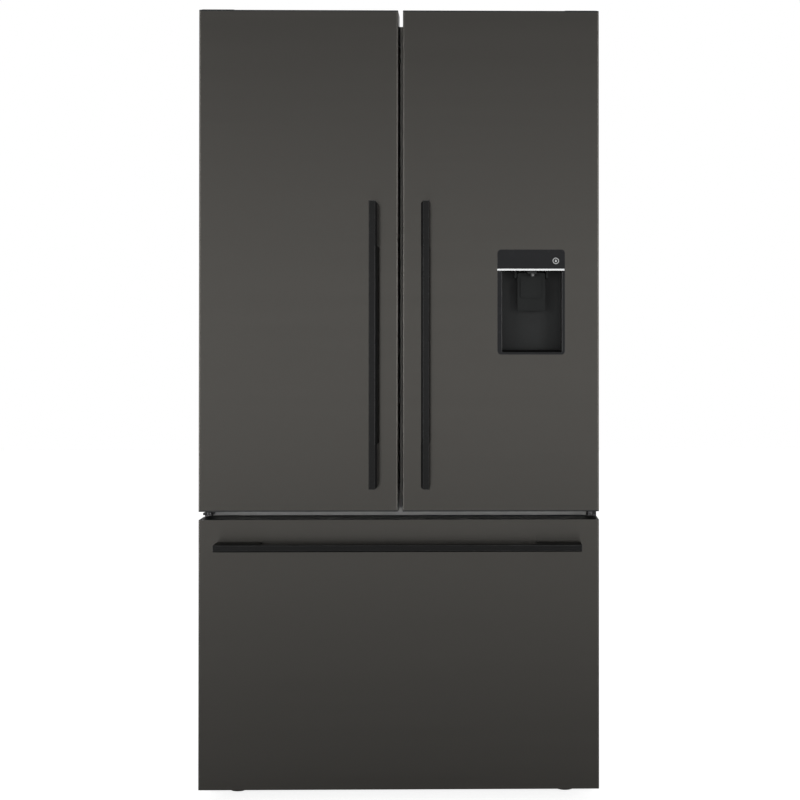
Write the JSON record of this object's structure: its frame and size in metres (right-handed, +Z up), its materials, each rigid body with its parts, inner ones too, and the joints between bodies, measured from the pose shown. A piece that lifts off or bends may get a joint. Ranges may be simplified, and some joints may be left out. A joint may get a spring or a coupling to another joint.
{
  "type": "french door refrigerator",
  "caption": "Tall refrigerator with side-hinged upper doors, a bottom freezer drawer, upright bar handles and a water dispenser in a door.",
  "frame": {"origin": "on the floor, at the centre of the bounding box's base", "axes": "+Z up, -Y out of the doors' front, +X to the right as seen from the front"},
  "size_m": [0.9, 0.752, 1.795],
  "materials": {
    "black_stainless": "satin",
    "handle_steel": "satin",
    "cabinet_paint": "satin",
    "rear_paint": "matte",
    "frame_paint": "satin",
    "rail_paint": "satin",
    "zinc_steel": "satin",
    "foam": "matte",
    "white_plastic": "satin",
    "light_lens": "satin",
    "clear_plastic": "gloss",
    "shelf_glass": "polished",
    "dark_plastic": "satin",
    "gloss_black": "gloss",
    "gasket_rubber": "matte",
    "black_rubber": "matte",
    "light_strip": "gloss",
    "coil_aluminium": "satin",
    "fan_plastic": "satin"
  },
  "bodies": {
    "cabinet": {"cabinet_shell": "cabinet_paint", "rear_panels": "rear_paint", "insulation": "foam", "fridge_liner": "white_plastic", "freezer_liner": "white_plastic", "front_rails": "rail_paint", "base_frame": "frame_paint", "compressor": "frame_paint", "coils": "coil_aluminium", "fan_shroud": "dark_plastic", "water_valve": "white_plastic", "cord_gland": "black_rubber", "door_hinges": "zinc_steel", "hinge_covers": "dark_plastic", "shelf_supports": "zinc_steel", "shelf_glass": "shelf_glass", "shelf_trim": "white_plastic", "duct_covers": "white_plastic", "lights": "light_lens", "ice_maker": "white_plastic", "freezer_rails": "zinc_steel"},
    "left_door": {"left_door_skin": "black_stainless", "left_door_core": "foam", "left_door_liner": "white_plastic", "left_door_gasket": "gasket_rubber", "left_door_caps": "dark_plastic", "left_handle": "handle_steel", "left_door_bins": "clear_plastic"},
    "mullion_flap": {"mullion_flap": "cabinet_paint"},
    "right_door": {"right_door_skin": "black_stainless", "right_door_core": "foam", "right_door_liner": "white_plastic", "right_door_gasket": "gasket_rubber", "right_door_caps": "dark_plastic", "right_handle": "handle_steel", "right_door_bins": "clear_plastic", "dispenser_housing": "dark_plastic", "dispenser_fascia": "gloss_black", "dispenser_light": "light_strip"},
    "dispenser_paddle": {"dispenser_paddle": "dark_plastic"},
    "dispenser_button": {"dispenser_button": "gloss_black"},
    "freezer_drawer": {"drawer_skin": "black_stainless", "drawer_core": "foam", "drawer_liner": "zinc_steel", "drawer_gasket": "gasket_rubber", "drawer_caps": "dark_plastic", "drawer_handle": "handle_steel", "drawer_basket": "white_plastic"},
    "slide_channels": {"drawer_rails": "zinc_steel"},
    "slide_shelf": {"slide_shelf": "shelf_glass"},
    "crisper_left": {"crisper_left": "clear_plastic"},
    "crisper_right": {"crisper_right": "clear_plastic"},
    "ice_bin": {"ice_bin": "clear_plastic"},
    "upper_drawer": {"upper_drawer": "clear_plastic"},
    "ice_arm": {"ice_arm": "zinc_steel"},
    "water_filter": {"water_filter": "white_plastic"},
    "condenser_fan": {"condenser_fan": "fan_plastic"},
    "foot_left": {"foot_left": "black_rubber"},
    "foot_right": {"foot_right": "black_rubber"},
    "rear_rollers": {"rear_rollers": "dark_plastic"}
  },
  "joints": [
    {"name": "left_door_hinge", "type": "hinge", "parent": "cabinet", "child": "left_door", "pos_m": [-0.432, -0.284, 1.2], "axis": [0, 0, -1], "range_deg": [0, 120]},
    {"name": "right_door_hinge", "type": "hinge", "parent": "cabinet", "child": "right_door", "pos_m": [0.432, -0.284, 1.2], "axis": [0, 0, 1], "range_deg": [0, 120]},
    {"name": "mullion_flip", "type": "hinge", "parent": "left_door", "child": "mullion_flap", "pos_m": [-0.04, -0.231, 1.2], "axis": [0, 0, -1], "range_deg": [0, 90]},
    {"name": "freezer_drawer_slide", "type": "slide", "parent": "cabinet", "child": "freezer_drawer", "axis": [0, -1, 0], "range_m": [0, 0.4]},
    {"name": "slide_channel_travel", "type": "slide", "parent": "cabinet", "child": "slide_channels", "axis": [0, -1, 0], "range_m": [0, 0.2]},
    {"name": "upper_drawer_slide", "type": "slide", "parent": "cabinet", "child": "upper_drawer", "axis": [0, -1, 0], "range_m": [0, 0.145]},
    {"name": "ice_bin_slide", "type": "slide", "parent": "cabinet", "child": "ice_bin", "axis": [0, -1, 0], "range_m": [0, 0.145]},
    {"name": "ice_arm_lift", "type": "hinge", "parent": "cabinet", "child": "ice_arm", "pos_m": [-0.24, 0.1, 0.576], "axis": [1, 0, 0], "range_deg": [0, 18]},
    {"name": "crisper_left_slide", "type": "slide", "parent": "cabinet", "child": "crisper_left", "axis": [0, -1, 0], "range_m": [0, 0.12]},
    {"name": "crisper_right_slide", "type": "slide", "parent": "cabinet", "child": "crisper_right", "axis": [0, -1, 0], "range_m": [0, 0.12]},
    {"name": "slide_shelf_travel", "type": "slide", "parent": "cabinet", "child": "slide_shelf", "axis": [0, 1, 0], "range_m": [0, 0.15]},
    {"name": "water_filter_turn", "type": "hinge", "parent": "cabinet", "child": "water_filter", "pos_m": [-0.335, -0.09, 1.69], "axis": [0, 1, 0], "range_deg": [0, 90]},
    {"name": "condenser_fan_spin", "type": "hinge", "parent": "cabinet", "child": "condenser_fan", "pos_m": [-0.133, 0.267, 0.16], "axis": [1, 0, 0], "continuous": true},
    {"name": "dispenser_paddle_push", "type": "hinge", "parent": "right_door", "child": "dispenser_paddle", "pos_m": [0.2985, -0.287, 1.1945], "axis": [1, 0, 0], "range_deg": [0, 12], "stiffness_Nm_per_rad": 0.3},
    {"name": "dispenser_button_press", "type": "slide", "parent": "right_door", "child": "dispenser_button", "axis": [0, 1, 0], "range_m": [0, 0.0015], "stiffness_N_per_m": 400},
    {"name": "foot_left_screw", "type": "slide", "parent": "cabinet", "child": "foot_left", "axis": [0, 0, -1], "range_m": [0, 0.015]},
    {"name": "foot_right_screw", "type": "slide", "parent": "cabinet", "child": "foot_right", "axis": [0, 0, -1], "range_m": [0, 0.015]},
    {"name": "rear_roller_roll", "type": "hinge", "parent": "cabinet", "child": "rear_rollers", "pos_m": [0, 0.3, 0.02], "axis": [1, 0, 0], "continuous": true}
  ],
  "couplings": [
    {"joint": "slide_channel_travel", "follows": "freezer_drawer_slide", "ratio": 0.5}
  ]
}
